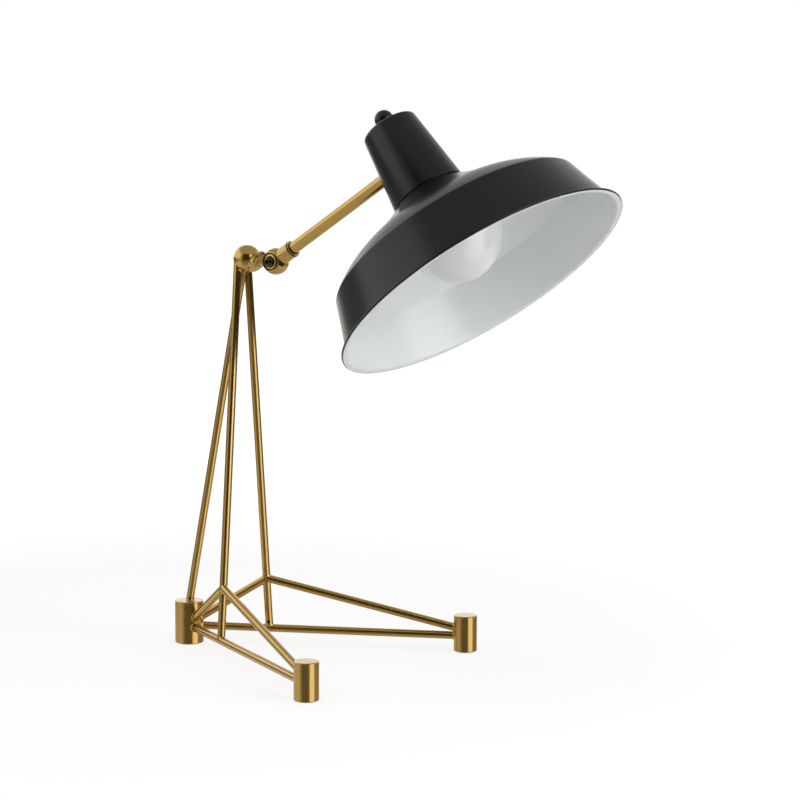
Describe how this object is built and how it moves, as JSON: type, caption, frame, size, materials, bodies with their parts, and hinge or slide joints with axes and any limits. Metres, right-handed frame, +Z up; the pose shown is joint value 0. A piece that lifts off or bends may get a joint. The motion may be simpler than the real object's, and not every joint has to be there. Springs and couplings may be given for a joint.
{
  "type": "bedside lamp",
  "caption": "Brass rod table lamp with a braced three-legged base, ball knuckle, tilting arm and a wide black spun shade over an opal globe bulb.",
  "frame": {"origin": "on the floor under the middle of the rear foot, on the rear pad's underside", "axes": "+X runs forward between the two far feet towards the shade, +Y to the right foot, +Z up"},
  "size_m": [0.5197, 0.3146, 0.5725],
  "materials": {
    "brass": "satin brushed",
    "black_paint": "satin black powder coat",
    "shade_paint": "satin black outside, gloss white inside",
    "pad_rubber": "matte",
    "black_ring": "matte",
    "dark_steel": "blackened",
    "zinc_steel": "zinc plated",
    "holder_ceramic": "moulded",
    "switch_plastic": "moulded",
    "opal_glass": "opal gloss",
    "cap_metal": "drawn"
  },
  "bodies": {
    "base": {"rear_foot": "brass", "front_foot": "brass", "right_foot": "brass", "foot_pads": "pad_rubber", "cord_grommet": "black_ring", "rear_leg": "brass", "front_leg": "brass", "right_leg": "brass", "front_rail": "brass", "right_rail": "brass", "front_outer_brace": "brass", "right_outer_brace": "brass", "front_inner_brace": "brass", "right_inner_brace": "brass", "hub_ball": "brass", "knuckle_link": "brass", "tongue_washers": "black_ring"},
    "knuckle": {"knuckle_ball": "brass", "pivot_ring": "black_ring", "pivot_screw": "dark_steel", "pivot_nut": "dark_steel", "collar_ring": "black_ring", "collar_set_screw": "dark_steel"},
    "head": {"arm_spigot": "brass", "arm_tube": "brass", "arm_nipple": "zinc_steel", "nipple_washer": "zinc_steel", "nipple_nut": "zinc_steel", "holder_bracket": "zinc_steel", "holder_screws": "zinc_steel", "neck": "black_paint", "shade_ring": "black_paint", "shade": "shade_paint", "shade_screws": "zinc_steel", "lampholder": "holder_ceramic", "socket_shell": "brass", "centre_contact": "brass", "bulb_globe": "opal_glass", "bulb_cap": "cap_metal", "bulb_contact": "cap_metal", "switch_body": "switch_plastic", "switch_nut": "zinc_steel"},
    "knob": {"switch_knob": "black_paint", "switch_shaft": "zinc_steel", "knob_set_screw": "zinc_steel"}
  },
  "joints": [
    {"name": "arm_tilt", "type": "hinge", "parent": "base", "child": "knuckle", "pos_m": [0.1209, 0, 0.41739], "axis": [0, -1, 0], "range_deg": [-50, 45]},
    {"name": "arm_roll", "type": "hinge", "parent": "knuckle", "child": "head", "pos_m": [0.1209, 0, 0.41739], "axis": [0.8504, 0, 0.5261], "range_deg": [-130, 130]},
    {"name": "switch_turn", "type": "hinge", "parent": "head", "child": "knob", "pos_m": [0.25858, 0, 0.56276], "axis": [-0.599, 0, 0.8007], "range_deg": [0, 90]}
  ]
}
